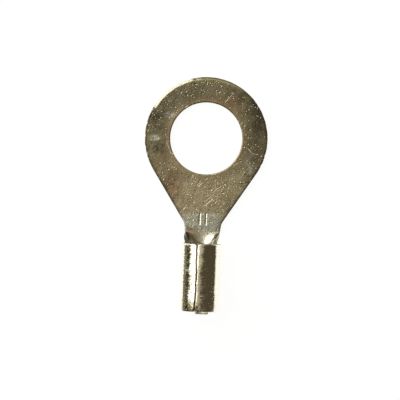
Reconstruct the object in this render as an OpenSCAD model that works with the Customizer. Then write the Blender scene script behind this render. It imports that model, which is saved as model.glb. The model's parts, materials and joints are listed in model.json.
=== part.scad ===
// Uninsulated ring terminal for a screwed electrical connection.
//
// The real piece is one blank of plated copper sheet. A press cuts its outline
// and its stud hole, bends its neck into a trough, and rolls the two wings
// behind the neck into a tube, whose edges butt along a seam on top.
//
// The terminal lies flat. The origin is on the axis of the stud hole, at the
// underside of the ring. +Y points to the tip of the ring, the wire barrel
// lies towards -Y, and +Z points up, to the side that has the seam.

/* [Sheet] */
// Thickness of the sheet
sheet_t = 0.9; // [0.7:0.05:1.1]

/* [Ring] */
// Diameter of the stud hole, here for a 3/8 in stud
stud_hole_d = 9.9; // [8.4:0.1:10.8]
// Outside diameter of the ring
ring_d = 16.9; // [15.6:0.1:18.4]
// Radius that the piercing punch left on the upper edge of the stud hole
hole_edge_r = 0.15; // [0.08:0.01:0.25]

/* [Tip of the ring] */
// Greatest width of the upper edge that the cut-off punch bent down at the tip
tip_roll_w = 0.35; // [0.3:0.05:0.7]
// Slope of that bent edge, in degrees
tip_roll_slope = 19; // [12:1:28]
// Where the bent edge runs out to nothing, in degrees round the hole from +X
tip_roll_start = 50; // [30:1:70]
// Where it is widest, in degrees round the hole
tip_roll_widest = 126; // [110:1:135]
// Where it stops in a step, in degrees round the hole
tip_roll_end = 152; // [140:1:165]

/* [Neck] */
// From the centre of the stud hole to where the tapered sides reach the neck
taper_len = 11.65; // [11:0.05:13]
// From there to the front of the barrel
neck_len = 2.8; // [2.6:0.1:4]
// Width of the neck where the tapered sides reach it
neck_w = 5.15; // [4.6:0.05:5.4]
// Width of the neck at the front of the barrel, measured along the bend
neck_rim_w = 4.4; // [4:0.05:4.6]
// Radius of the inner corner between a tapered side and the neck
neck_corner_r = 1.5; // [0.6:0.1:1.8]
// Radius of the inner corner between the neck and the front of a wing
wing_relief_r = 0.3; // [0.15:0.05:0.45]
// Stretch of the neck that stays flat between the taper's corner and the bend
neck_flat = 0.6; // [0.3:0.05:0.8]

/* [Barrel] */
// Bore of the barrel, here for wire of 4 to 6 square millimetres
wire_bore_d = 3.8; // [3.2:0.1:4.4]
// Length of the barrel
barrel_len = 9.25; // [7:0.25:11]
// Radius on the outer edge at each end of the barrel
rim_edge_r = 0.14; // [0.08:0.01:0.25]

/* [Seam] */
// How far the seam lies to the left of the barrel's top, in degrees
seam_turn = 12; // [0:1:15]
// Gap between the two butted edges
seam_gap = 0.04; // [0.03:0.01:0.15]
// Radius on the outer corner of each butted edge
seam_lip_r = 0.14; // [0.1:0.01:0.3]
// Radius on the corner of each wing, at both ends of the seam
wing_corner_r = 0.4; // [0.2:0.05:0.6]

/* [Cut-off tab] */
// Width of what is left of the strip that carried the blank
tab_w = 1.65; // [1:0.05:2.4]
// How far it stands out behind the barrel
tab_len = 0.5; // [0.2:0.05:0.8]
// How far its middle lies to the right of the barrel's axis
tab_offset = 0.5; // [0:0.05:1]

/* [Hidden] */

$fn = 96;
plating = "#c9bf9a";

// Curved faces that should just touch are made to cross by this much, which
// leaves no visible mark and gives a clean edge between them.
cross = 0.002;
// How far a cutter stands past the surface that it cuts
past = 1;

ring_r = ring_d / 2;
hole_r = stud_hole_d / 2;
bore_r = wire_bore_d / 2;
barrel_r = bore_r + sheet_t;

// Distances from the centre of the stud hole towards -Y
barrel_front = taper_len + neck_len;
barrel_back = barrel_front + barrel_len;

// A tapered side, on the +X side: it leaves the ring as a tangent and ends at
// the corner with the neck, which narrows from there to the barrel's front.
// The corner's radius takes up neck_corner_reach of the side and of the neck.
neck_corner = [neck_w / 2, -taper_len];
tangent_angle = atan2(neck_corner.y, neck_corner.x)
              + acos(ring_r / norm(neck_corner));
side_start = (ring_r - cross) * [cos(tangent_angle), sin(tangent_angle)];
side_dir = (neck_corner - side_start) / norm(neck_corner - side_start);
neck_side = [neck_rim_w / 2, -barrel_front] - neck_corner;
neck_dir = neck_side / norm(neck_side);
neck_corner_reach = neck_corner_r * tan(acos(side_dir * neck_dir) / 2);

// Width of the narrowing neck at a distance from the centre of the stud hole
function neck_width(distance) =
    neck_w + (neck_rim_w - neck_w) * (distance - taper_len) / neck_len;

// The trough begins past that corner. The middle of the sheet's thickness is
// bent to middle_r where the trough meets the barrel.
bend_start = taper_len + neck_corner_reach + neck_flat;
bend_len = barrel_front - bend_start;
middle_r = bore_r + sheet_t / 2;

// The tongue and the trough share a piece of the flat neck between them.
trough_front = bend_start - neck_flat * 2 / 3;
tongue_back = bend_start - neck_flat / 3;

// The neck and the tab reach this far into the wall of the barrel, past the
// rounded edge at its end.
seat = 2 * rim_edge_r;

module mirrored_pair() {
    children();
    mirror([1, 0, 0]) children();
}

// What has to be cut from a square corner at the origin, with the material
// towards -X and -Y, to round it with radius r. The cutter's arc crosses both
// faces, and it stays clear of them beyond that.
module corner_cutter(r) {
    difference() {
        translate([cross - r, cross - r]) square(r + past);
        translate([-r, -r]) circle(r + cross);
    }
}

// Plan of the tapered sides and the flat part of the neck
module taper_outline() {
    polygon([
        side_start,
        neck_corner,
        [neck_width(tongue_back) / 2, -tongue_back],
        [-neck_width(tongue_back) / 2, -tongue_back],
        [-neck_corner.x, neck_corner.y],
        [-side_start.x, side_start.y]
    ]);
}

// Plan of the fill that rounds the inner corner between side and neck
module neck_corner_fill() {
    lower_end = neck_corner + neck_corner_reach * neck_dir;
    outward = [-neck_dir.y, neck_dir.x];
    difference() {
        polygon([
            neck_corner - [neck_w / 4, 0],
            neck_corner - neck_corner_reach * side_dir,
            lower_end
        ]);
        translate(lower_end + neck_corner_r * outward)
            circle(neck_corner_r + cross);
    }
}

module stud_hole() {
    translate([0, 0, -past]) cylinder(r = hole_r, h = sheet_t + 2 * past);
    translate([0, 0, sheet_t])
        rotate_extrude()
            translate([hole_r, 0]) mirror([1, 0]) corner_cutter(hole_edge_r);
}

// Cutter for the bent edge at the tip. Its cone starts on a circle that is
// larger than the ring and set off from it, so that the edge is widest in the
// middle of its arc and runs out to nothing where the two circles meet.
module tip_roll() {
    set_off = tip_roll_w / (1 - cos(tip_roll_widest - tip_roll_start));
    cone_r = ring_r - tip_roll_w + set_off;
    reach = 3 * past;
    difference() {
        rotate(tip_roll_widest) translate([-set_off, 0, sheet_t])
            rotate_extrude()
                polygon([
                    [cone_r, 0],
                    [cone_r, past],
                    [cone_r + reach, past],
                    [cone_r + reach, -reach * tan(tip_roll_slope)]
                ]);
        // it stops square across the edge
        rotate(tip_roll_end)
            translate([-ring_d, 0, -ring_d]) cube(2 * ring_d);
    }
}

module tongue() {
    difference() {
        union() {
            cylinder(r = ring_r, h = sheet_t);
            linear_extrude(sheet_t) taper_outline();
            mirrored_pair() linear_extrude(sheet_t) neck_corner_fill();
        }
        stud_hole();
        tip_roll();
    }
}

// Curvature of the middle of the sheet, a share s of the way along the trough.
// It grows smoothly from the flat neck (0) to the barrel (1).
function curvature(s) = (3 * pow(s, 2) - 2 * pow(s, 3)) / middle_r;

// A point of the bent sheet: across is its distance from the centre line
// along the bend, up its height above the underside of the sheet, and k the
// curvature there. The middle of the underside stays level with the ring's.
function bent_point(across, up, k, y) =
    k == 0
    ? [across, y, up]
    : let(angle = across * k * 180 / PI, centre_z = 1 / k + sheet_t / 2)
      [
          (centre_z - up) * sin(angle),
          y,
          centre_z - (centre_z - up) * cos(angle)
      ];

// What the inner corner at a wing adds to each side of the neck, at a distance
// before the front of the barrel
function wing_relief(before) =
    before >= wing_relief_r
    ? 0
    : wing_relief_r - sqrt(pow(wing_relief_r, 2) - pow(wing_relief_r - before, 2));

// Trough of the neck, lofted through bent cross-sections of the sheet. Its
// last two sections are a hair thinner, to lie inside the wall of the barrel.
module trough() {
    steps = 12;
    relief_steps = 5;
    columns = 20;
    hair = 5 * cross;
    relief_start = barrel_front - wing_relief_r;
    distances = [
        trough_front,
        for (i = [0:steps]) bend_start + (relief_start - bend_start) * i / steps,
        for (i = [1:relief_steps - 1])
            barrel_front - wing_relief_r * (1 - sin(90 * i / relief_steps)),
        barrel_front,
        barrel_front + seat
    ];
    // of each section: its curvature, distance, width and inset
    stations = [
        for (d = distances)
            [
                curvature(min(max((d - bend_start) / bend_len, 0), 1)),
                d,
                neck_width(min(d, barrel_front)) + 2 * wing_relief(max(barrel_front - d, 0)),
                d < barrel_front ? 0 : hair
            ]
    ];
    section_points = 2 * (columns + 1);
    last_section = (len(stations) - 1) * section_points;

    // each section runs along the underside and back along the upper side
    points = [
        for (station = stations)
            let(k = station[0], y = -station[1], w = station[2], inset = station[3])
            each [
                for (j = [0:columns])
                    bent_point(w * (j / columns - 0.5), inset, k, y),
                for (j = [columns:-1:0])
                    bent_point(w * (j / columns - 0.5), sheet_t - inset, k, y)
            ]
    ];

    skin = [
        for (first = [0:section_points:last_section - 1], j = [0:section_points - 1])
            let(a = first + j, b = first + (j + 1) % section_points)
            each [
                [a, b + section_points, b],
                [a, a + section_points, b + section_points]
            ]
    ];

    // faces between the two long edges of one section
    function strips(first) = [
        for (j = [0:columns - 1])
            let(low = first + j, high = first + section_points - 1 - j)
            [low, low + 1, high - 1, high]
    ];
    function reversed(face) = [face[3], face[2], face[1], face[0]];

    flat_end = strips(0);
    seated_end = [for (face = strips(last_section)) reversed(face)];
    polyhedron(points, concat(skin, flat_end, seated_end), convexity = 6);
}

// Section of the seam: a narrow gap that opens out between the rounded corners
// of the two butted edges. The axis of the barrel is at the origin.
module seam_section() {
    lip_x = seam_gap / 2 + seam_lip_r;
    lip_y = sqrt(pow(barrel_r - seam_lip_r, 2) - pow(lip_x, 2));
    translate([-seam_gap / 2, 0]) square([seam_gap, barrel_r + past]);
    difference() {
        translate([-lip_x, lip_y + cross]) square([2 * lip_x, past]);
        mirrored_pair() translate([lip_x, lip_y]) circle(seam_lip_r + cross);
    }
}

// Plan of the opening that the rounded corners of the wings leave at one end
// of the seam. The end of the barrel is at Y = 0, with the barrel towards -Y.
module wing_corners() {
    corner_x = seam_gap / 2 + wing_corner_r;
    difference() {
        translate([-corner_x, cross - wing_corner_r])
            square([2 * corner_x, wing_corner_r + past]);
        mirrored_pair()
            translate([corner_x, -wing_corner_r]) circle(wing_corner_r + cross);
    }
}

// The barrel, standing on its front end with the seam towards +Y
module rolled_wings() {
    difference() {
        rotate_extrude()
            difference() {
                translate([bore_r, 0]) square([sheet_t, barrel_len]);
                translate([barrel_r, barrel_len]) corner_cutter(rim_edge_r);
                translate([barrel_r, 0])
                    mirror([0, 1]) corner_cutter(rim_edge_r);
            }
        translate([0, 0, -past])
            linear_extrude(barrel_len + 2 * past) seam_section();
        rotate([-90, 0, 0])
            linear_extrude(barrel_r + past) wing_corners();
        translate([0, 0, barrel_len]) rotate([-90, 0, 0])
            linear_extrude(barrel_r + past) mirror([0, 1]) wing_corners();
    }
}

// Cut-off tab: a strip of the lower wall that carries on past the back end
module tab() {
    intersection() {
        translate([0, 0, barrel_len - seat])
            rotate_extrude()
                translate([bore_r + cross, 0])
                    square([sheet_t - 2 * cross, seat + tab_len]);
        translate([tab_offset - tab_w / 2, -2 * barrel_r, 0])
            cube([tab_w, 2 * barrel_r, 2 * barrel_len]);
    }
}

module barrel() {
    translate([0, -barrel_front, barrel_r]) rotate([90, 0, 0]) {
        rotate(seam_turn) rolled_wings();
        tab();
    }
}

module ring_terminal() {
    color(plating) {
        tongue();
        trough();
        barrel();
    }
}

ring_terminal();
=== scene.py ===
import json
import math

import bpy
import numpy as np
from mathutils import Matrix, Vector


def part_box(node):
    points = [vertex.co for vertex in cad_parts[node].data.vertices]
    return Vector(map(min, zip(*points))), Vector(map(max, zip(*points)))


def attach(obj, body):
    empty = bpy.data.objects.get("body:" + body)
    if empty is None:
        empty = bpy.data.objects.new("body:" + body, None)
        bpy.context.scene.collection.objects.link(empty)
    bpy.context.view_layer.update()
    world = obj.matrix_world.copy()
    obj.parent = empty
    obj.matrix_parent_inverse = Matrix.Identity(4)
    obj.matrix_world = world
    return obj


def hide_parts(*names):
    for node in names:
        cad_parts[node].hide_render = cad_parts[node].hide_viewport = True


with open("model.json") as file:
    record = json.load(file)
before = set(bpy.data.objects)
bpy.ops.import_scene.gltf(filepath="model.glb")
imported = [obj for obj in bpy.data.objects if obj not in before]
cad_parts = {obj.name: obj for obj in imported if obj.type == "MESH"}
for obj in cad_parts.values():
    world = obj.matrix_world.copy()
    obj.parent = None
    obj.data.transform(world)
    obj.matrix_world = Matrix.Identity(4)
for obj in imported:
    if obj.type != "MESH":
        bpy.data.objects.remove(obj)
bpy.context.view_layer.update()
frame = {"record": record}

# ---------------------------------------------------------------------------
# The blank
#
# The terminal starts as a flat blank, punched from plated copper sheet: the ring,
# its tapered sides, the neck and the two wings that become the barrel. Lengths are
# in mm. A point is (across, along, up), and the ring's points are in place already.
# ---------------------------------------------------------------------------

MM = 0.001

mounts = {mount["name"]: mount for mount in frame["record"]["mounts"]}
hole_r = mounts["stud_hole"]["dims"]["r_mm"]
bore_r = mounts["wire_barrel"]["dims"]["r_mm"]
barrel_r = mounts["barrel_outside"]["dims"]["r_mm"]
barrel_len = mounts["wire_barrel"]["dims"]["length_mm"]
barrel_back = -mounts["wire_barrel"]["pos_m"][1] / MM
low_corner, high_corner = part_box("ring_terminal")
ring_r = high_corner.y / MM
tab_len = -low_corner.y / MM - barrel_back

sheet_t = barrel_r - bore_r
middle_r = bore_r + sheet_t / 2
barrel_front = barrel_back - barrel_len

# plan of the blank, with the sizes of the part's own source. The seam's turn and
# the barrel's twist together put the seam where the source does, and its gap is
# half as wide as there.
taper_len = 11.65
neck_len = barrel_front - taper_len
neck_w = 5.15
neck_rim_w = 4.4
neck_corner_r = 1.5
wing_relief_r = 0.3
wing_corner_r = 0.4
seam_turn = math.radians(17)
barrel_twist = math.radians(-5)
seam_gap = 0.02
tab_w = 1.65
tab_offset = 0.5
tab_corner_r = 0.1

# the tapered sides touch the ring at this angle round the hole, where their
# normal is the ring's own
side_angle = math.acos(ring_r / math.hypot(neck_w / 2, taper_len)) - math.atan2(taper_len, neck_w / 2)
side_normal = np.array([math.cos(side_angle), math.sin(side_angle)])

# the sheet's faces are made in three parts: one ends at this distance from the
# hole's centre, and the next half-way round the small corners beside the neck,
# after relief_mid of their steps
tongue_end = 9.5
relief_start = barrel_front - wing_relief_r
relief_mid = 4


def unit(vector):
    """A vector of the same direction with length 1."""
    return np.asarray(vector) / np.linalg.norm(vector)


def line(start, end, count):
    """Points at even steps from start to end; the end itself is left out."""
    share = np.arange(count)[:, None] / count
    return np.asarray(start) + share * (np.asarray(end) - np.asarray(start))


def arc(centre, start, end, count):
    """Points at even angles round centre, the short way from start to end.

    The end itself is left out. Both ends lie on the same circle.
    """
    from_centre = np.asarray(start) - centre
    to_end = np.asarray(end) - centre
    turn = math.atan2(
        from_centre[0] * to_end[1] - from_centre[1] * to_end[0],
        from_centre @ to_end,
    )
    angle = math.atan2(from_centre[1], from_centre[0]) + turn * np.arange(count) / count
    return centre + np.linalg.norm(from_centre) * np.stack([np.cos(angle), np.sin(angle)], axis=1)


def neck_half(distance):
    """Half the neck's width, which shrinks evenly from the taper to the barrel."""
    share = (distance - taper_len) / neck_len
    return (neck_w + (neck_rim_w - neck_w) * share) / 2


def half_outline(wing_half, tab_edge, inner_columns):
    """One side of the blank's outline, from the ring's tip to the corner of the tab.

    It runs round the ring, down the tangent side, round the inner corner, down
    the narrowing neck, out along the front of the wing, round its two rounded
    corners, back along its rear and down the side of the tab. Where the wing's
    rear lies behind the neck, its points lie behind the neck's own. The number
    that ends each run is its count of steps.
    """
    corner = np.array([neck_w / 2, -taper_len])
    side_start = ring_r * side_normal
    side_dir = unit(corner - side_start)
    neck_dir = unit([(neck_rim_w - neck_w) / 2, -neck_len])
    reach = neck_corner_r * math.tan(math.acos(side_dir @ neck_dir) / 2)
    side_end = corner - reach * side_dir
    neck_start = corner + reach * neck_dir
    corner_centre = neck_start + neck_corner_r * np.array([-neck_dir[1], neck_dir[0]])
    cut = side_start + side_dir * (tongue_end + side_start[1]) / -side_dir[1]

    turn = np.linspace(0, math.pi / 2, 2 * relief_mid + 1)
    relief_y = -barrel_front + wing_relief_r * (1 - np.sin(turn))
    relief_x = neck_half(relief_start) + wing_relief_r * (1 - np.cos(turn))
    relief = np.stack([relief_x, relief_y], axis=1)

    wing_x = wing_half - wing_corner_r
    front = line(relief[-1], [wing_x, -barrel_front], 40)
    rear_x = np.concatenate([[wing_x], front[:0:-1, 0], relief_x[:relief_mid:-1]])
    rear = np.stack([rear_x, np.full(len(rear_x), -barrel_back)], axis=1)
    tab_corner = np.array([tab_edge + tab_corner_r, -barrel_back])

    front_centre = np.array([wing_x, -barrel_front - wing_corner_r])
    rear_centre = np.array([wing_x, -barrel_back + wing_corner_r])
    butt_start = front_centre + [wing_corner_r, 0]
    butt_end = rear_centre + [wing_corner_r, 0]
    tab_top = np.array([tab_edge, -barrel_back - tab_corner_r])
    runs = {
        "ring": arc(np.zeros(2), [0, ring_r], side_start, 190),
        "side": line(side_start, cut, 36),
        "tongue_end": line(cut, side_end, 22),
        "corner": arc(corner_centre, side_end, neck_start, 12),
        "neck": line(neck_start, relief[0], 28),
        "relief": relief[:-1],
        "front": front,
        "front_corner": arc(front_centre, [wing_x, -barrel_front], butt_start, 10),
        "butt": line(butt_start, butt_end, 76),
        "rear_corner": arc(rear_centre, butt_end, [wing_x, -barrel_back], 10),
        "rear": rear,
        "inner": line([relief_x[relief_mid], -barrel_back], tab_corner, inner_columns),
        "tab_corner": arc(tab_top + [tab_corner_r, 0], tab_corner, tab_top, 3),
        "tab": line(tab_top, [tab_edge, -barrel_back - tab_len], 6),
        "tab_end": np.array([[tab_edge, -barrel_back - tab_len]]),
    }
    starts = np.cumsum([0] + [len(run) for run in runs.values()])
    return np.concatenate(list(runs.values())), dict(zip(runs, starts))


# what differs between the right side, 1, and the left side, -1
inner_columns = {1: 9, -1: 18}
tab_edges = {side: tab_w / 2 + side * tab_offset for side in (1, -1)}
wing_halves = {side: middle_r * (math.pi + side * seam_turn) - seam_gap / 2 for side in (1, -1)}
right, right_marks = half_outline(wing_halves[1], tab_edges[1], inner_columns[1])
left, left_marks = half_outline(wing_halves[-1], tab_edges[-1], inner_columns[-1])
left[:, 0] *= -1

# the whole outline runs clockwise from the ring's tip: down the right side,
# across the end of the tab, and up the left side
tab_columns = 18
tab_end_line = line(right[-1], left[-1], tab_columns)[1:]
outline = np.concatenate([right, tab_end_line, left[:0:-1]])
outline_count = len(outline)


def on_right(first, last):
    """Places in the outline of the right side's points from one mark to another."""
    start = right_marks[first] if isinstance(first, str) else first
    stop = right_marks[last] if isinstance(last, str) else last
    return np.arange(start, stop + 1)


def on_left(first, last):
    """The same for the left side, which the outline runs through backwards."""
    start = left_marks[first] if isinstance(first, str) else first
    stop = left_marks[last] if isinstance(last, str) else last
    return (outline_count - np.arange(start, stop + 1)) % outline_count


# ---------------------------------------------------------------------------
# Cut edges
#
# The punch rounds the edge that it enters and tears the rest of the cut. The ring's
# tip was cut off last, which bent its upper edge down in a crescent that stops in a
# step. The wings' outer edges are rounded, so the butted seam shows as a groove.
# ---------------------------------------------------------------------------

# the crescent at the tip: its width, its slope, and bearings round the hole
tip_roll_w = 0.35
tip_roll_slope = math.radians(19)
tip_roll_start = math.radians(50)
tip_roll_widest = math.radians(126)
tip_roll_end = math.radians(152)
step_w = 0.12

# widths of the rounded edges: above, where they drop by a share of their width, and
# below at the seam, on the barrel's rims and elsewhere; and how far the torn part of
# a cut steps back
plain_edge = 0.1
edge_drop = 0.6
left_lip_r = 0.1
right_lip_r = 0.12
rim_edge_r = 0.14
burr = 0.03
torn_back = 0.02


def outward(path):
    """Directions square to a closed clockwise path, longer at its corners.

    Each is the sum of the normals of the two steps that meet at the point,
    divided by 1 plus their dot product. A point moved by it keeps one distance
    from both steps.
    """
    step = np.roll(path, -1, axis=0) - path
    step /= np.linalg.norm(step, axis=1)[:, None]
    after = np.stack([-step[:, 1], step[:, 0]], axis=1)
    before = np.roll(after, 1, axis=0)
    return (after + before) / (1 + np.sum(after * before, axis=1))[:, None]


def smooth_along(values, passes):
    """A closed row of values, averaged a few times with its two neighbours."""
    for _ in range(passes):
        values = (np.roll(values, 1) + 2 * values + np.roll(values, -1)) / 4
    return values


def smooth_step(low, high, value):
    """0 below low, 1 above high, and 3s^2 - 2s^3 of the share s between them."""
    share = np.clip((value - low) / (high - low), 0, 1)
    return share * share * (3 - 2 * share)


def ripple(position, pitch, seed):
    """A smooth random wave of height about 1: seven sines of mixed wavelengths.

    Their wavelengths spread around pitch, and their phases come from the seed.
    """
    draw = np.random.default_rng(seed)
    wavelengths = pitch * draw.uniform(0.5, 2.0, 7)
    phases = draw.uniform(0, 2 * math.pi, 7)
    waves = np.sin(2 * math.pi * position[..., None] / wavelengths + phases)
    return waves.sum(axis=-1) / 2.65


normals = outward(outline)
path_length = np.cumsum(np.linalg.norm(outline - np.roll(outline, 1, axis=0), axis=1))
bearing = np.arctan2(outline[:, 1], outline[:, 0])
on_ring = np.linalg.norm(outline, axis=1) < ring_r + 0.01

# the crescent at the tip
crescent = np.cos(bearing - tip_roll_widest) - math.cos(tip_roll_widest - tip_roll_start)
crescent = crescent / (1 - math.cos(tip_roll_widest - tip_roll_start))
crescent *= on_ring & (bearing > tip_roll_start)
before_step = (tip_roll_end - bearing) * ring_r
crescent = np.clip(crescent, 0, 1) ** 0.6 * smooth_step(0, step_w, before_step)
roll_wave = 1 + 0.1 * ripple(path_length, 1.6, 3)
sloped = smooth_step(0, 0.3, crescent)
upper_w = plain_edge + (tip_roll_w - plain_edge) * crescent * roll_wave
upper_drop = plain_edge * edge_drop * (1 - sloped)
upper_drop += upper_w * math.tan(tip_roll_slope) * smooth_step(0, 0.5, crescent)

# the outer edges of the wings
lower_w = np.full(outline_count, burr)
for places in (on_right("relief", "tab_corner"), on_left("relief", "tab_corner")):
    lower_w[places] = rim_edge_r
lower_w[on_right("butt", "rear_corner")] = right_lip_r
lower_w[on_left("butt", "rear_corner")] = left_lip_r
lower_w = smooth_along(lower_w, 6)
lower_drop = 0.95 * lower_w

# small nicks, as (bearing round the hole in degrees, depth, width)
nicks = [
    (168, 0.07, 0.16),
    (179.5, 0.09, 0.2),
    (190, 0.05, 0.12),
    (-14, 0.05, 0.2),
    (-24, 0.06, 0.15),
    (34, 0.04, 0.2),
]
for nick_bearing, depth, width in nicks:
    away = np.angle(np.exp(1j * (bearing - math.radians(nick_bearing)))) * ring_r
    bite = depth * np.exp(-((away / width) ** 2)) * on_ring
    outline = outline - normals * bite[:, None]
uneven_cut = 0.008 * (1 + ripple(path_length, 1.1, 5)) * on_ring
outline = outline - normals * uneven_cut[:, None]

# ---------------------------------------------------------------------------
# The sheet as a closed surface
#
# Its rim is a small profile that is carried round the outline: over the upper
# rounded edge, down the cut and round the lower edge. The hole has such a rim
# too. The upper and the lower face are grids that start on the rims' ends.
# ---------------------------------------------------------------------------

points = []
quads = []
quad_materials = []
FACE, CUT = 0, 1


def add_grid(grid, flip=False, closed=False, material=FACE):
    """Add a grid of points (rows, columns, 3) and the faces between them.

    Rows that go up the page and columns that go right give faces towards the
    reader; flip turns them round. A closed grid joins its last column to its
    first. material is one number, or one for each row of faces.
    """
    rows, columns = grid.shape[:2]
    number = sum(len(block) for block in points) + np.arange(rows * columns).reshape(rows, columns)
    if closed:
        number = np.concatenate([number, number[:, :1]], axis=1)
    corners = [number[:-1, :-1], number[:-1, 1:], number[1:, 1:], number[1:, :-1]]
    if flip:
        corners.reverse()
    faces = np.stack(corners, axis=-1)
    points.append(grid.reshape(-1, 3))
    quads.append(faces.reshape(-1, 4))
    kinds = np.broadcast_to(np.asarray(material).reshape(-1, 1), faces.shape[:2])
    quad_materials.append(kinds.reshape(-1))


def rim_profile(wide, drop, lower_wide, lower_drop, plane=0.0):
    """Section of a cut edge as (how far in, how high) pairs for every path point.

    A quarter ellipse of the upper width and drop, a straight cut that steps back
    by a hair to its torn lower part, and a quarter ellipse at the bottom. plane
    turns the upper ellipse into a slope that is nearly straight.
    """
    turn = np.linspace(0, math.pi / 2, 8)[:, None]
    out = np.sin(turn)
    upper_in = wide * (1 - out)
    upper_up = sheet_t - drop * ((1 - plane) * (1 - np.cos(turn)) + plane * out ** 1.2)
    share = np.array([0.25, 0.45, 0.55, 0.8])[:, None]
    torn_in = torn_back * smooth_step(0.4, 0.6, share)
    cut_in = np.broadcast_to(torn_in, (len(share), wide.shape[0]))
    cut_up = (sheet_t - drop) * (1 - share) + lower_drop * share
    turn = np.linspace(0, math.pi / 2, 5)[:, None]
    lower_in = torn_back + lower_wide * (1 - np.cos(turn))
    lower_up = lower_drop * (1 - np.sin(turn))
    return np.concatenate([upper_in, cut_in, lower_in]), np.concatenate([upper_up, cut_up, lower_up])


def rim_grid(path, directions, profile):
    """The profile carried along a path: each point moved in and set to its height."""
    inward, up = profile
    plan = path[None] - directions[None] * inward[:, :, None]
    return np.concatenate([plan, up[:, :, None]], axis=2)


# a rim's rows of faces, from the top: the plated upper edge, the bare cut and the
# plated lower edge
rim_kinds = [FACE] * 7 + [CUT] * 6 + [FACE] * 3

outer_rim = rim_grid(outline, normals, rim_profile(upper_w, upper_drop, lower_w, lower_drop, sloped))
add_grid(outer_rim, closed=True, material=rim_kinds)


def between(first, last, shares):
    """Straight rows of points between paired end points, at the given shares."""
    first, last = np.asarray(first), np.asarray(last)
    return first[..., None, :] + shares[:, None] * (last - first)[..., None, :]


def length_shares(row):
    """How far each point of a row lies from its start, as a share of its length."""
    reached = np.linalg.norm(np.diff(row, axis=0), axis=1).cumsum()
    return np.concatenate([[0], reached / reached[-1]])


def stretched(front, rear, left_side, right_side):
    """A grid stretched between four sides that meet at its corners (a Coons patch).

    Each point is the mean line between front and rear, plus the mean line
    between left and right, less the flat blend of the four corners.
    """
    s = length_shares(front)[None, :, None]
    t = length_shares(left_side)[:, None, None]
    along = (1 - t) * front[None] + t * rear[None]
    across = (1 - s) * left_side[:, None] + s * right_side[:, None]
    corners = (1 - t) * ((1 - s) * front[0] + s * front[-1]) + t * ((1 - s) * rear[0] + s * rear[-1])
    return along + across - corners


# places of the neck's sides in the outline, and the shares of its width at
# which its columns lie: each one meets a point of the barrel's rear
neck_places = {
    1: on_right("tongue_end", right_marks["relief"] + relief_mid),
    -1: on_left("tongue_end", left_marks["relief"] + relief_mid),
}
column_x = np.concatenate([
    outline[on_left("inner", "tab"), 0],
    tab_end_line[::-1, 0],
    outline[on_right("inner", "tab")[::-1], 0],
])
shares = (column_x - column_x[0]) / (column_x[-1] - column_x[0])

# hole: its points face the points of the tongue's edge, a little spread out
# towards the neck, where the edge turns away from the ring
tongue_right = on_right(0, "tongue_end")
tongue_left = on_left(1, "tongue_end")[::-1]


def tongue_loop(rim):
    """The tongue's edge as a closed clockwise loop, across the sheet at its end."""
    end_line = between(rim[tongue_right[-1]], rim[tongue_left[0]], 1 - shares[1:-1][::-1])
    return np.concatenate([rim[tongue_right], end_line, rim[tongue_left]])


def sheet_face(rim, hole_rim, up_side, tongue_rows):
    """One face of the sheet between the outer rim and the hole's rim.

    Straight rows of points join the hole to the tongue's edge, straight rows
    cross the neck, and one stretched grid covers the two wings.
    """
    loop = tongue_loop(rim)
    rows = np.linspace(0, 1, tongue_rows + 1)
    add_grid(between(hole_rim, loop, rows).transpose(1, 0, 2), flip=not up_side, closed=True)

    neck = between(rim[neck_places[-1]], rim[neck_places[1]], shares)
    add_grid(neck, flip=up_side)

    # the stretched grid's own corners are half-way round the wings' corners
    corner_mid = 5
    marks = {1: right_marks, -1: left_marks}
    front_mid = {side: marks[side]["front_corner"] + corner_mid for side in marks}
    rear_mid = {side: marks[side]["rear_corner"] + corner_mid for side in marks}
    front = np.concatenate([
        rim[on_left(left_marks["relief"] + relief_mid, front_mid[-1])[::-1]],
        neck[-1, 1:-1],
        rim[on_right(right_marks["relief"] + relief_mid, front_mid[1])],
    ])
    tab_left = on_left("tab", "tab_end")
    tab_right = on_right("tab", "tab_end")
    tab = between(rim[tab_left], rim[tab_right], np.linspace(0, 1, tab_columns + 1))
    tab[-1] = rim[np.arange(tab_left[-1], tab_right[-1] - 1, -1)]
    rear = np.concatenate([
        rim[on_left(rear_mid[-1], "tab")],
        tab[0, 1:-1],
        rim[on_right(rear_mid[1], "tab")][::-1],
    ])
    left_butt = rim[on_left(front_mid[-1], rear_mid[-1])]
    right_butt = rim[on_right(front_mid[1], rear_mid[1])]
    add_grid(stretched(front, rear, left_butt, right_butt), flip=up_side)
    add_grid(tab, flip=up_side)


loop_plan = tongue_loop(outer_rim[0])[:, :2]
loop_bearing = np.unwrap(np.arctan2(loop_plan[:, 1], loop_plan[:, 0]))
even_bearing = np.linspace(loop_bearing[0], loop_bearing[0] - 2 * math.pi, len(loop_plan) + 1)[:-1]
near_neck = smooth_step(0.35, 1.0, -np.sin(loop_bearing))
hole_bearing = loop_bearing + 0.35 * near_neck * (even_bearing - loop_bearing)
hole_normals = -np.stack([np.cos(hole_bearing), np.sin(hole_bearing)], axis=1)
hole_edge = np.full(len(hole_bearing), 0.15)
hole_burr = np.full(len(hole_bearing), burr)
hole_profile = rim_profile(hole_edge, edge_drop * hole_edge, hole_burr, hole_burr)
hole_rim = rim_grid(-hole_r * hole_normals, hole_normals, hole_profile)
add_grid(hole_rim, flip=True, closed=True, material=rim_kinds)

upper_rows, lower_rows = 46, 8
sheet_face(outer_rim[0], hole_rim[0], True, upper_rows)
sheet_face(outer_rim[-1], hole_rim[-1], False, lower_rows)

sheet = np.concatenate(points)
quads = np.concatenate(quads)
quad_materials = np.concatenate(quad_materials)

# points that two grids share become one
_, kept, number = np.unique(np.round(sheet, 6), axis=0, return_index=True, return_inverse=True)
sheet = sheet[kept]
quads = number.reshape(-1)[quads]


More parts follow.
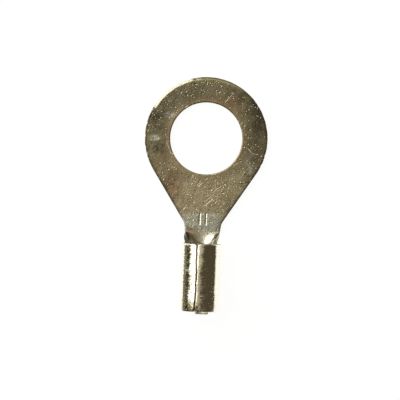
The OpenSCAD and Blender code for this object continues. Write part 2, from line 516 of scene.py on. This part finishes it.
def waves(place, pitch, count, seed):
    """A smooth random surface of height about 1: straight sine waves in random
    directions, with wavelengths spread around pitch."""
    draw = np.random.default_rng(seed)
    heading = draw.uniform(0, 2 * math.pi, count)
    pace = 2 * math.pi / (pitch * draw.uniform(0.6, 1.7, count))
    phase = draw.uniform(0, 2 * math.pi, count)
    swept = place[:, :1] * np.cos(heading) + place[:, 1:2] * np.sin(heading)
    return np.sin(swept * pace + phase).sum(axis=1) / math.sqrt(count / 2) / 1.5


# The faces aren't quite even. The upper one sinks by a few hundredths of a
# millimetre at most, and so does the barrel's outside, which is the lower one. The
# barrel sinks everywhere by a hair, so it stays within its size.
across, along, up = sheet.T
on_barrel = smooth_step(barrel_front - 0.4, barrel_front, -along)
share_up = up / sheet_t
upper_sink = 0.008 * (1 + waves(sheet, 3.4, 14, 11)) + 0.003 * (1 + waves(sheet, 1.2, 18, 12))
left_wing = smooth_step(-0.5, 1.5, -across)
peel = 0.006 * (1 + waves(sheet, 0.62, 24, 13)) * (0.35 + 0.65 * left_wing)
peel += 0.008 * (1 + waves(sheet, 1.9, 14, 14))
least_peel = 0.003
up = up - np.maximum(upper_sink, 0) * share_up
up = up + np.maximum(peel, least_peel) * (1 - share_up) * on_barrel

# Two short plain strokes are punched side by side into the neck.
stroke_places = (-0.42, 0.42)
stroke_near, stroke_far = -10.35, -11.85
stroke_half = 0.15
stroke_depth = 0.02
for stroke_across in stroke_places:
    beside = np.abs(across - stroke_across) / stroke_half
    beyond = np.maximum(np.maximum(along - stroke_near, stroke_far - along), 0) / stroke_half
    up = up - stroke_depth * share_up * smooth_step(-1, 0, -np.hypot(beside, beyond))

# The seam wanders a little, and the right wing's front corner is tucked in.
wing_share = smooth_step(0.45, 1, np.abs(across) / wing_halves[1])
wander = 0.035 * ripple(along, 4.5, 21) + 0.02 * ripple(along, 1.4, 22) + 0.03
across = across + wander * wing_share * on_barrel
tuck_in, tuck_w, tuck_len = 0.05, 1.0, 2.6
tuck_across = smooth_step(wing_halves[1] - tuck_w, wing_halves[1], across)
tuck_along = smooth_step(-barrel_front - tuck_len, -barrel_front, along)
up = up + tuck_in * tuck_across * tuck_along * on_barrel
sheet = np.stack([across, along, up], axis=1)

# ---------------------------------------------------------------------------
# Bending
#
# A press bends the neck into a trough and rolls the wings round a pin, so that
# their edges meet a little to the left of the barrel's top.
# ---------------------------------------------------------------------------

bend_start = 12.7


def curvature(along):
    """1 / radius of the sheet's middle: none on the tongue, then rising as
    3s^2 - 2s^3 with the share s of the trough, and the barrel's from there on."""
    return smooth_step(bend_start, barrel_front, -along) / middle_r


def bent(sheet):
    """Roll every point of the sheet upwards round an axis that runs along it.

    With the curvature k at that place, a point lies at the angle across * k
    on a circle of radius 1/k + half the thickness - its height. The middle of
    the sheet's lower face stays level, but for the barrel's small twist, which
    grows with the square of k.
    """
    across, along, up = sheet.T
    k = np.maximum(curvature(along), 1e-7)
    centre = 1 / k + sheet_t / 2
    angle = across * k + barrel_twist * (k * middle_r) ** 2
    x = (centre - up) * np.sin(angle)
    z = up * np.cos(angle) + 2 * centre * np.sin(angle / 2) ** 2
    return np.stack([x, along, z], axis=1)


solid = bent(sheet)

terminal_mesh = bpy.data.meshes.new("terminal")
terminal_mesh.from_pydata((solid * MM).tolist(), [], quads.tolist())
terminal_mesh.polygons.foreach_set("use_smooth", np.ones(len(quads), bool))
terminal_mesh.polygons.foreach_set("material_index", quad_materials.astype(np.int32))
sheet_place = terminal_mesh.attributes.new("sheet_mm", "FLOAT_VECTOR", "POINT")
sheet_place.data.foreach_set("vector", sheet.astype(np.float32).ravel())
terminal_mesh.update()
terminal = bpy.data.objects.new("terminal", terminal_mesh)
bpy.context.collection.objects.link(terminal)

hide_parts("ring_terminal")
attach(terminal, "root")

# ---------------------------------------------------------------------------
# Plating, wear and painted light and shade
#
# A thin, warm plating covers both faces of the sheet. It is dull and mottled with
# age, pitted on the ring, browned round the hole, and rubbed bright on the neck and
# the barrel. The cut edges show rougher, greener metal. Painted shade darkens the
# barrel's left flank and the trough's left side, and painted highlights lighten the
# trough's right side and the neck's left border.
# ---------------------------------------------------------------------------

# Places and spreads are (across, along) on the sheet in mm, from the hole's centre.
# Lengths along are negative towards the barrel.


def near(place, spread):
    """How close each point of the sheet is to a place: exp(-(distance / spread)^2)."""
    away = (sheet[:, :2] - place) / spread
    return np.exp(-np.sum(away * away, axis=1))


def patches(places):
    """The sum of share * near(place, spread) over rows of (place, spread, share)."""
    return sum(share * near(place, spread) for place, spread, share in places)


def store(name, values):
    """Keep one number for each point of the terminal, for the materials to read."""
    attribute = terminal_mesh.attributes.new(name, "FLOAT", "POINT")
    attribute.data.foreach_set("value", values.astype(np.float32))


across, along, up = sheet.T
radius = np.hypot(across, along)
turned = np.arctan2(along, across)
from_hole = radius - hole_r
on_tongue = smooth_step(-12.4, -11.2, along)
on_barrel = smooth_step(14.1, 14.5, -along)

# the cut tip was rubbed smooth, and so were the neck and the barrel when they
# were pressed
tip_share = np.cos(turned - tip_roll_widest) - math.cos(tip_roll_widest - tip_roll_start)
before_tip_end = (turned > 0) * (turned < tip_roll_end)
in_tip = smooth_step(0, 0.1, tip_share) * before_tip_end
on_tip = smooth_step(0, 0.4, tip_share) * before_tip_end
on_tip *= smooth_step(ring_r - 0.45, ring_r - 0.3, radius)
pressed = 0.75 * smooth_step(10.2, 11.4, -along)
pressed += 0.05 * smooth_step(12.6, 13.4, -along)
pressed += 0.2 * on_barrel
# the first place keeps the trough's left side dark: painted shade in its hollow; the second is at the
# neck's right
pressed *= 1 - 0.6 * near([-1.3, -13.6], [0.8, 0.9]) - 0.5 * near([1.8, -11.4], [1.1, 1.3])
store("rubbed", np.maximum(pressed, 0.7 * on_tip))
store("smooth", np.maximum(on_barrel, on_tip))
store("top", up > sheet_t / 2)

# the bent-down edge shows an olive cut to the right of its bright part
olive_arc = smooth_step(2.0, 1.75, turned) * smooth_step(0.9, 1.45, turned) * (tip_share > 0)
store("olive", 0.8 * olive_arc * smooth_step(ring_r - 0.7, ring_r - 0.4, radius))

# the press left the barrel's left flank and the neck uneven, and the left of the
# trough is rougher than its right
lean = along + 0.25 * np.abs(across) - 0.2 * ripple(across, 1.1, 37)
on_plateau = smooth_step(-10.0, -10.8, along) * smooth_step(-12.9, -11.9, lean)
ragged_side = smooth_step(-4.2, -5.0, across) * smooth_step(-6.1, -5.7, across)
store("uneven", on_barrel * (0.9 * ragged_side + 0.15) + 0.3 * on_plateau)
on_tab = smooth_step(barrel_back, barrel_back + 0.05, -along)
in_trough = smooth_step(12.0, 13.2, -lean) * (1 - on_barrel)
store("rougher", in_trough * (0.3 * smooth_step(1.3, -0.6, across) - 0.1) + 0.24 * on_tab)

# the ring is darker than the neck, most at the right, the upper left and along the
# cut sides
store("dull", smooth_step(-7.5, 0.5, along) * (1 + 0.15 * np.cos(turned - 0.5)))
upper_left = np.exp(-(((turned - math.radians(128)) / 0.62) ** 2) - ((radius - 7.1) / 1.5) ** 2)
dark_places = [
    ([7.4, 2.6], [2.0, 4.2], 1.0),
    ([5.2, 5.6], [2.2, 1.8], 0.7),
    ([-7.4, 2.4], [1.4, 1.8], 0.8),
    ([-6.6, -1.4], [1.4, 0.9], 0.8),
    ([-6.2, -3.4], [1.4, 2.0], 0.5),
    ([6.9, -3.6], [1.0, 2.4], 0.5),
    ([-2.2, -5.5], [2.2, 0.7], 0.35),
    ([-5.2, -6.6], [1.2, 2.2], 0.3),
    ([6.0, -4.9], [0.7, 1.6], 0.4),
    ([3.5, -9.6], [0.5, 1.5], 0.4),
    ([1.6, 7.6], [2.4, 0.5], 0.25),
    ([0.2, 5.3], [2.0, 0.6], 0.7),
    ([-6.0, 0.9], [0.9, 0.7], 0.4),
    ([1.5, -12.1], [0.8, 0.8], 0.35),
    ([2.35, -11.9], [0.35, 1.0], 0.7),
    # these two places darken the trough's left side: painted shade in its hollow
    ([-1.3, -13.2], [1.1, 0.5], 0.7),
    ([-2.3, -14.0], [0.4, 0.9], 1.2),
]
hole_ring = smooth_step(1.0, 0.1, from_hole) * smooth_step(0.0, 0.25, from_hole) * on_tongue
darkened = patches(dark_places) + 0.6 * upper_left
store("dark", darkened * (1 - 0.75 * hole_ring))
folded = np.stack([np.abs(across), along], axis=1)
above_side = np.arctan2(along, np.abs(across)) > side_angle
from_edge = ring_r - np.where(above_side, radius, folded @ side_normal)
dark_edge = smooth_step(0.5, 0.05, from_edge) * on_tongue * (1 - in_tip)
# the dark edge leaves out the neck's left border, where a painted highlight lies
store("edge", dark_edge * (1 - near([-2.5, -11.6], [0.6, 1.0])))

# painted shade darkens the barrel's left flank, where it mirrors the dark room; the
# barrel is also darker at its rear by the seam, and a little beside the seam
sway = 0.18 * ripple(along, 2.4, 31)
left_flank = smooth_step(-4.6, -5.05, across) * smooth_step(-6.3 + sway, -5.3 + sway, across)
rear_places = [
    ([-5.75, -23.7], [0.55, 1.4], 1.8),
    ([-6.8, -23.6], [0.35, 1.3], 1.8),
    ([8.0, -23.6], [0.35, 1.1], 1.3),
]
beside_seam = 0.2 * smooth_step(-5.0, -5.6, across)
flank_darkening = np.maximum(np.maximum(left_flank, patches(rear_places)), beside_seam)
store("flank_shade_and_rear_dark", flank_darkening * smooth_step(-14.55, -14.8, along))

# where the plating is brown, bluish grey, reddish and still fresh. The brown at the
# trough's left side is painted shade in its hollow, and the bluish grey at the neck's
# left border and the fresh places in the trough are painted highlights
warm_place = near([3.6, 5.0], [1.1, 0.9]) + 0.8 * near([-1.3, -13.5], [1.1, 0.8])
store("warm", np.maximum(hole_ring * (0.8 + 0.24 * np.sin(turned - 0.6)), warm_place))
store("cool", patches([
    ([-7.1, -0.2], [0.9, 0.5], 1.0),
    ([-4.9, 3.0], [1.2, 0.6], 0.7),
    ([0.9, 6.3], [1.4, 0.6], 0.25),
    ([5.6, -2.9], [0.7, 0.9], 0.5),
    ([6.3, -4.2], [0.5, 1.1], 0.6),
    ([0.3, -11.4], [2.6, 1.2], 1.5),
    # a painted highlight on the neck's left border
    ([-2.4, -11.6], [0.3, 0.9], 1.0),
    ([0.9, -12.7], [0.9, 0.5], 0.5),
]))
store("pink", patches([
    ([-4.3, -6.5], [1.2, 2.2], 1.4),
    ([-6.2, -3.0], [1.2, 1.6], 0.6),
    ([3.2, 5.2], [1.8, 0.8], 0.8),
    ([-1.5, -12.7], [1.1, 0.4], 1.1),
    ([1.0, 5.6], [2.2, 0.5], 0.5),
]))
store("fresh_and_highlight", patches([
    ([0.6, -7.4], [3.0, 1.6], 0.9),
    ([-0.4, -9.4], [2.4, 1.4], 0.5),
    ([4.2, -5.0], [1.2, 1.2], 0.4),
    # these two places lighten the trough's right side: a painted highlight
    ([2.3, -13.9], [0.5, 0.9], 1.0),
    ([0.5, -13.6], [0.5, 0.7], 0.6),
]))

# where small dents lie closest together
ring_pits = patches([
    ([-0.5, 7.0], [2.6, 1.1], 0.6),
    ([6.6, 1.0], [1.6, 5.0], 0.35),
    ([2.2, -7.2], [1.5, 1.4], 1.0),
])
right_flank = smooth_step(5.5, 6.2, across) * smooth_step(7.6, 7.2, across)
barrel_pits = on_barrel * smooth_step(-16, -20, along) * (0.35 + 0.35 * right_flank)
barrel_pits += 0.9 * smooth_step(-22.7, -23.2, along) * right_flank
store("pitted", ring_pits + upper_left + barrel_pits)


def add_node(tree, kind, inputs=None, **settings):
    """Add a shader node. An input is given a number or colour, or another node's output."""
    node = tree.nodes.new("ShaderNode" + kind)
    for name, value in settings.items():
        setattr(node, name, value)
    for name, value in (inputs or {}).items():
        if isinstance(value, bpy.types.NodeSocket):
            tree.links.new(value, node.inputs[name])
        else:
            node.inputs[name].default_value = value
    return node


def calculate(tree, operation, *values, clamp=False):
    """The output of a Math node."""
    inputs = dict(enumerate(values))
    return add_node(tree, "Math", inputs, operation=operation, use_clamp=clamp).outputs[0]


def calculate_vector(tree, operation, *values):
    """A Vector Math node."""
    return add_node(tree, "VectorMath", dict(enumerate(values)), operation=operation)


def ramp(tree, value, low, high):
    """Carry value smoothly from low..high to 0..1, and hold it at the ends."""
    inputs = {"Value": value, "From Min": low, "From Max": high, "To Min": 0.0, "To Max": 1.0}
    return add_node(tree, "MapRange", inputs, interpolation_type="SMOOTHSTEP").outputs["Result"]


def effect(name, inputs, outputs):
    """An empty node group with named sockets: its tree, its input and its output node."""
    tree = bpy.data.node_groups.new(name, "ShaderNodeTree")
    for socket_name, start in inputs.items():
        kind = "NodeSocketVector" if isinstance(start, tuple) else "NodeSocketFloat"
        socket = tree.interface.new_socket(socket_name, in_out="INPUT", socket_type=kind)
        socket.default_value = start
    for socket_name in outputs:
        tree.interface.new_socket(socket_name, in_out="OUTPUT", socket_type="NodeSocketFloat")
    return tree, tree.nodes.new("NodeGroupInput").outputs, tree.nodes.new("NodeGroupOutput").inputs


origin = (0.0, 0.0, 0.0)

# cloudy patches of a given size in mm: 0 outside them, 1 inside
blotches, given, result = effect(
    "blotches", {"Place": origin, "Size": 1.0, "Low": 0.45, "High": 0.6, "Detail": 2.0}, ["Mask"])
cloud = add_node(blotches, "TexNoise", {
    "Vector": given["Place"],
    "Scale": calculate(blotches, "DIVIDE", 1.0, given["Size"]),
    "Detail": given["Detail"],
    "Roughness": 0.6,
})
blotches.links.new(ramp(blotches, cloud.outputs[0], given["Low"], given["High"]), result["Mask"])

# scattered small dents: one in each cell of a grid of the given spacing, for a
# share of the cells, stretched along an angle to a dash if length and width differ
dents, given, result = effect(
    "dents",
    {"Place": origin, "Angle": 0.0, "Length": 0.2, "Width": 0.2, "Spacing": 4.0, "Share": 0.5},
    ["Mask"])
aligned = add_node(
    dents, "VectorRotate", {"Vector": given["Place"], "Angle": given["Angle"]}, rotation_type="Z_AXIS")
stretch = add_node(dents, "CombineXYZ", {"X": given["Length"], "Y": given["Width"], "Z": 1.0})
cells = calculate_vector(dents, "DIVIDE", aligned.outputs[0], stretch.outputs[0])
spaced = calculate_vector(dents, "SCALE", cells.outputs[0])
dents.links.new(calculate(dents, "DIVIDE", 1.0, given["Spacing"]), spaced.inputs["Scale"])
centres = add_node(
    dents, "TexVoronoi", {"Vector": spaced.outputs[0], "Scale": 1.0}, voronoi_dimensions="2D")
chance = add_node(dents, "SeparateColor", {"Color": centres.outputs["Color"]})
away = calculate(dents, "MULTIPLY", centres.outputs["Distance"], given["Spacing"])
reach = calculate(dents, "MULTIPLY_ADD", chance.outputs[1], 0.7, 0.3)
inside = ramp(dents, calculate(dents, "DIVIDE", away, reach), 1.0, 0.2)
chosen = calculate(dents, "LESS_THAN", chance.outputs[0], given["Share"])
dents.links.new(calculate(dents, "MULTIPLY", inside, chosen), result["Mask"])

# one long scratch from a start to an end
scratch, given, result = effect(
    "scratch", {"Place": origin, "Start": origin, "End": (1.0, 0.0, 0.0), "Width": 0.1}, ["Mask"])
flat_place = calculate_vector(scratch, "MULTIPLY", given["Place"], (1.0, 1.0, 0.0)).outputs[0]
from_start = calculate_vector(scratch, "SUBTRACT", flat_place, given["Start"]).outputs[0]
whole = calculate_vector(scratch, "SUBTRACT", given["End"], given["Start"]).outputs[0]
along_it = calculate(
    scratch, "DIVIDE",
    calculate_vector(scratch, "DOT_PRODUCT", from_start, whole).outputs["Value"],
    calculate_vector(scratch, "DOT_PRODUCT", whole, whole).outputs["Value"],
    clamp=True)
nearest = calculate_vector(scratch, "SCALE", whole)
scratch.links.new(along_it, nearest.inputs["Scale"])
off_it = calculate_vector(scratch, "DISTANCE", from_start, nearest.outputs[0]).outputs["Value"]
off_line = calculate(scratch, "DIVIDE", off_it, given["Width"])
scratch.links.new(ramp(scratch, off_line, 1.0, 0.0), result["Mask"])

plating = (0.88, 0.79, 0.57)
plating_warm = (0.97, 0.86, 0.66)
plating_clean = (0.96, 0.93, 0.81)
plating_bare = (0.97, 0.93, 0.80)
tarnish = (0.30, 0.275, 0.185)
tarnish_dark = (0.12, 0.10, 0.055)
slate_tarnish_and_shade = (0.11, 0.10, 0.07)
brown_tarnish_and_shade = (0.64, 0.47, 0.29)
tarnish_red = (0.52, 0.35, 0.235)
tarnish_green = (0.42, 0.44, 0.24)
grey_tarnish_and_highlight = (0.80, 0.86, 0.80)
tarnish_olive = (0.60, 0.57, 0.25)
# colours of the barrel's darkened left flank, which is painted shade, and of its darker rear
dark_flank_green = (0.13, 0.15, 0.06)
dark_flank_brown = (0.15, 0.12, 0.055)
cut_plain = (0.42, 0.41, 0.25)
cut_dark = (0.14, 0.13, 0.07)
cut_copper = (0.55, 0.40, 0.25)
cut_bright = (0.60, 0.63, 0.34)


def new_metal(name):
    """A metal material: its tree, its shader and the place on the sheet in mm."""
    material = bpy.data.materials.new(name)
    material.use_nodes = True
    tree = material.node_tree
    shader = tree.nodes["Principled BSDF"]
    shader.inputs["Metallic"].default_value = 1.0
    place = add_node(tree, "Attribute", attribute_name="sheet_mm").outputs["Vector"]
    return material, tree, shader, place


# The functions that follow work in the present material, which is tree, and on
# the present place on the sheet.


def stored(name):
    """A stored number."""
    return add_node(tree, "Attribute", attribute_name=name).outputs["Fac"]


def times(value, factor, plus=0.0):
    """value * factor + plus."""
    return calculate(tree, "MULTIPLY_ADD", value, factor, plus)


def share_of(mask, share):
    """A mask times a number, held between 0 and 1."""
    return calculate(tree, "MULTIPLY", mask, share, clamp=True)


def largest(mask, *others):
    """The largest of several masks."""
    for other in others:
        mask = calculate(tree, "MAXIMUM", mask, other)
    return mask


def tinted(share, colour, tint):
    """A colour turned towards another by share."""
    node = add_node(tree, "Mix", {0: share}, data_type="RGBA")
    for socket, value in ((6, colour), (7, tint)):
        if isinstance(value, bpy.types.NodeSocket):
            tree.links.new(value, node.inputs[socket])
        else:
            node.inputs[socket].default_value = (*value, 1)
    return node.outputs[2]


def coated(colour, coats):
    """A colour under one coat after another, each as (mask, share, tint)."""
    for mask, share, tint in coats:
        colour = tinted(share_of(mask, share), colour, tint)
    return colour


def put_effect(group, **inputs):
    """The mask that an effect gives."""
    node = tree.nodes.new("ShaderNodeGroup")
    node.node_tree = group
    for name, value in {"Place": place, **inputs}.items():
        if isinstance(value, bpy.types.NodeSocket):
            tree.links.new(value, node.inputs[name])
        else:
            node.inputs[name].default_value = value
    return node.outputs["Mask"]


def noise(scale, detail, roughness):
    """Even noise round 0.5, with scale patches to a millimetre."""
    inputs = {"Vector": place, "Scale": scale, "Detail": detail, "Roughness": roughness}
    return add_node(tree, "TexNoise", inputs).outputs[0]


def scratched(rows):
    """Long scratches, given as (start, end, width)."""
    return largest(*[
        put_effect(scratch, Start=[*start, 0.0], End=[*end, 0.0], Width=width)
        for start, end, width in rows
    ])


face_metal, tree, shader, place = new_metal("plated_face")
smooth = stored("smooth")
pitted = stored("pitted")
on_flat = times(smooth, -1.0, 1.0)

# clouds and blotches of tarnish
clouds = put_effect(blotches, Size=1.9, Low=0.36, High=0.64, Detail=5.0)
small_clouds = put_effect(blotches, Size=0.38, Low=0.4, High=0.6, Detail=4.0)
specks = put_effect(blotches, Size=0.16, Low=0.52, High=0.68, Detail=2.0)
green_patches = put_effect(blotches, Size=1.3, Low=0.46, High=0.64, Detail=4.0)
brown_patches = put_effect(blotches, Size=2.3, Low=0.5, High=0.68, Detail=3.0)
broken = put_effect(blotches, Size=0.7, Low=0.25, High=0.6, Detail=4.0)
patchy = put_effect(blotches, Size=1.1, Low=0.42, High=0.58, Detail=5.0)
fine = noise(4.5, 4.0, 0.8)

# pits, bright flecks, and short marks that lie in one direction
pits = put_effect(dents, Length=0.12, Width=0.12, Spacing=2.8, Share=times(pitted, 0.75, 0.06))
flecks = put_effect(
    dents, Angle=0.7, Length=0.17, Width=0.11, Spacing=3.0, Share=times(pitted, 0.55, 0.06))
crowded = times(on_flat, times(clouds, 1.1, 0.35))
nibs = put_effect(
    dents, Angle=-0.9, Length=0.18, Width=0.09, Spacing=4.2, Share=times(crowded, 0.35))
dark_nibs = put_effect(
    dents, Angle=0.6, Length=0.28, Width=0.08, Spacing=3.6, Share=times(crowded, 0.4))
hairs = put_effect(
    dents, Angle=2.2, Length=0.6, Width=0.04, Spacing=8.0, Share=times(on_flat, 0.2))

# long scratches, bright and dark
bright_scratches = scratched([
    ([3.47, 6.35], [2.38, 5.04], 0.05),
    ([5.5, -0.9], [6.3, -1.7], 0.12),
    ([6.3, -1.7], [7.1, -1.9], 0.1),
    ([-1.0, -6.5], [-0.6, -6.1], 0.07),
    ([-0.8, -6.65], [-0.45, -6.25], 0.07),
    ([-5.5, -0.6], [-4.8, -2.2], 0.07),
    ([-2.3, -9.2], [-2.75, -9.9], 0.07),
    ([1.2, -8.3], [0.1, -9.3], 0.05),
])
dark_scratches = scratched([
    ([4.03, -3.99], [5.05, -4.93], 0.09),
    ([4.71, -6.12], [6.08, -5.87], 0.09),
    ([0.19, -8.57], [1.24, -7.65], 0.08),
    ([2.4, -8.3], [3.3, -8.5], 0.07),
])
scores = times(largest(times(hairs, 0.7), bright_scratches), times(small_clouds, 0.6, 0.4))
dark_marks = largest(dark_nibs, share_of(dark_scratches, 0.8))

# the two strokes punched into the neck are bright, and their edges crisp
stroke_lines = scratched([
    ([stroke_across, stroke_near], [stroke_across, stroke_far], stroke_half)
    for stroke_across in stroke_places
])
strokes = times(stroke_lines, stored("top"))

cool = ramp(tree, calculate(tree, "ADD", stored("cool"), times(fine, 1.6, -0.8)), 0.25, 0.85)
# the barrel's left flank, darkened as painted shade where it mirrors the dark room, and darker places
# at its rear
flank_shade_and_rear_dark = ramp(tree, calculate(tree, "ADD", stored("flank_shade_and_rear_dark"), times(fine, 3.6, -1.9)), 0.3, 0.6)
dark_flank_colour = tinted(share_of(green_patches, 0.6), dark_flank_brown, dark_flank_green)
bare_metal = largest(flecks, share_of(nibs, 0.8), scores, share_of(strokes, 0.7))
colour = coated(plating, [
    (clouds, 0.42, tarnish),
    (green_patches, 0.35, tarnish_green),
    (brown_patches, 0.35, tarnish_red),
    (stored("dull"), 0.66, tarnish),
    (small_clouds, 0.28, tarnish),
    (specks, 0.4, tarnish_dark),
    # fresh plating, and a painted highlight in the trough
    (stored("fresh_and_highlight"), 0.5, plating_warm),
    (stored("rubbed"), 1.0, plating_clean),
    # brown round the hole, and painted shade in the trough's left side
    (times(stored("warm"), times(broken, 0.5, 0.5)), 0.7, brown_tarnish_and_shade),
    (stored("pink"), 0.6, tarnish_red),
    # darker places, with painted shade in the trough's left side
    (times(stored("dark"), times(patchy, 0.6, 0.68)), 0.72, slate_tarnish_and_shade),
    (times(stored("olive"), broken), 1.0, tarnish_olive),
    # bluish grey tarnish, and the painted highlight on the neck's left border
    (cool, 0.75, grey_tarnish_and_highlight),
    (times(stored("edge"), times(broken, 0.3, 0.7)), 0.9, tarnish_dark),
    # painted shade on the barrel's left flank, and its darker rear
    (flank_shade_and_rear_dark, 0.97, dark_flank_colour),
    (dark_marks, 0.6, tarnish_dark),
    (bare_metal, 1.0, plating_bare),
])
tree.links.new(colour, shader.inputs["Base Color"])

matt_spots = largest(flecks, pits, times(share_of(small_clouds, pitted), 0.35))
rough = times(small_clouds, 0.08, 0.22)
rough = times(bare_metal, -0.1, rough)
rough = times(smooth, -0.17, rough)
rough = calculate(tree, "ADD", stored("rougher"), rough)
rough = times(times(matt_spots, smooth), 0.45, rough)
tree.links.new(rough, shader.inputs["Roughness"])

# small forms, as (mask, height in mm)
height = 0.0
for mask, rise in [
    (noise(4.5, 4.0, 0.65), 0.012),
    (times(noise(2.4, 3.0, 0.6), stored("uneven")), 0.08),
    (times(pits, on_flat), -0.025),
    (times(flecks, on_flat), -0.03),
    (nibs, 0.015),
    (scores, -0.02),
    (dark_marks, -0.012),
    (strokes, -0.018),
]:
    height = times(mask, rise, height)
bump = add_node(tree, "Bump", {"Strength": 1.0, "Distance": MM, "Height": height})
tree.links.new(bump.outputs[0], shader.inputs["Normal"])

cut_metal, tree, shader, place = new_metal("cut_edge")
torn = put_effect(blotches, Size=0.3, Low=0.4, High=0.6, Detail=3.0)
streaks = put_effect(dents, Length=0.08, Width=0.3, Spacing=2.5, Share=0.6)
colour = coated(cut_plain, [
    (torn, 0.85, cut_dark),
    (streaks, 0.3, cut_copper),
    (stored("dark"), 0.8, tarnish_dark),
    (stored("fresh_and_highlight"), 0.6, cut_bright),
])
tree.links.new(colour, shader.inputs["Base Color"])
tree.links.new(times(torn, 0.2, 0.3), shader.inputs["Roughness"])
height = calculate(tree, "ADD", torn, streaks)
bump = add_node(tree, "Bump", {"Strength": 1.0, "Distance": 0.05 * MM, "Height": height})
tree.links.new(bump.outputs[0], shader.inputs["Normal"])

terminal_mesh.materials.append(face_metal)
terminal_mesh.materials.append(cut_metal)

# ---------------------------------------------------------------------------
# Floor
#
# A wide sheet of plain white paper. It is white to the eye and in the metal that
# mirrors it, and it keeps a soft shadow.
# ---------------------------------------------------------------------------

# most of its white comes from the rays that look at it, so it sends little light
# back to the metal's underside
paper_grey = 0.15

paper_half = 1.2
paper_below = 0.00001

paper_mesh = bpy.data.meshes.new("paper")
corners = np.array([[-1, -1, 0], [1, -1, 0], [1, 1, 0], [-1, 1, 0]]) * paper_half
paper_mesh.from_pydata((corners - [0, 0, paper_below]).tolist(), [], [[0, 1, 2, 3]])
paper = bpy.data.objects.new("paper", paper_mesh)
bpy.context.collection.objects.link(paper)

paper_white = bpy.data.materials.new("paper_white")
paper_white.use_nodes = True
tree = paper_white.node_tree
shader = tree.nodes["Principled BSDF"]
shader.inputs["Base Color"].default_value = (paper_grey, paper_grey, paper_grey, 1)
shader.inputs["Roughness"].default_value = 0.9
shader.inputs["Specular IOR Level"].default_value = 0.0
shader.inputs["Emission Color"].default_value = (1.0, 1.0, 1.0, 1)
rays = add_node(tree, "LightPath").outputs
seen = largest(times(rays["Is Camera Ray"], 0.95), rays["Is Glossy Ray"], rays["Is Transmission Ray"])
tree.links.new(seen, shader.inputs["Emission Strength"])
paper_mesh.materials.append(paper_white)

# ---------------------------------------------------------------------------
# Light and camera
#
# A round softbox stands at the upper left. The room is dim and warm, but for the
# ceiling on the left, which is lighter. The camera looks straight down.
# ---------------------------------------------------------------------------

softbox_distance = 0.6
softbox_azimuth = math.radians(150)
softbox_polar = math.radians(45)
softbox_half_angle = math.radians(31)
softbox_radiance = 1.5
wall = (0.068, 0.054, 0.031)
ceiling = (0.48, 0.435, 0.33)
dark_side = (0.5, -0.87, 0.0)

# the lens takes in this width at this distance, both in mm
lens_width, lens_distance = 55, 300
camera_place = (-0.000504, -0.008498, 0.3009)
camera_turn = math.radians(2.36)

target = Vector((0, -0.008, 0.002))
towards = Vector((
    math.sin(softbox_polar) * math.cos(softbox_azimuth),
    math.sin(softbox_polar) * math.sin(softbox_azimuth),
    math.cos(softbox_polar),
))
softbox_r = softbox_distance * math.tan(softbox_half_angle)
softbox = bpy.data.lights.new("softbox", "AREA")
softbox.shape = "DISK"
softbox.size = 2 * softbox_r
softbox.energy = softbox_radiance * math.pi * math.pi * softbox_r ** 2
softbox.color = (1.0, 0.985, 0.93)
softbox_stand = bpy.data.objects.new("softbox", softbox)
softbox_stand.location = target + softbox_distance * towards
softbox_stand.rotation_euler = towards.to_track_quat("Z", "Y").to_euler()
bpy.context.collection.objects.link(softbox_stand)

world = bpy.data.worlds.new("room")
world.use_nodes = True
bpy.context.scene.world = world
tree = world.node_tree
direction = add_node(tree, "TexCoord").outputs["Generated"]
sideways = calculate_vector(tree, "DOT_PRODUCT", direction, dark_side).outputs["Value"]
upwards = add_node(tree, "SeparateXYZ", {0: direction}).outputs["Z"]
lit = times(ramp(tree, sideways, 0.055, -0.01), ramp(tree, upwards, 0.65, 0.9))
tree.links.new(tinted(lit, wall, ceiling), tree.nodes["Background"].inputs["Color"])
tree.nodes["Background"].inputs["Strength"].default_value = 1.0

camera_data = bpy.data.cameras.new("camera")
camera_data.sensor_width = 36
camera_data.lens = camera_data.sensor_width * lens_distance / lens_width
camera = bpy.data.objects.new("camera", camera_data)
camera.location = camera_place
camera.rotation_euler = (0, 0, camera_turn)
bpy.context.collection.objects.link(camera)
bpy.context.scene.camera = camera

bpy.context.scene.view_settings.view_transform = "Standard"
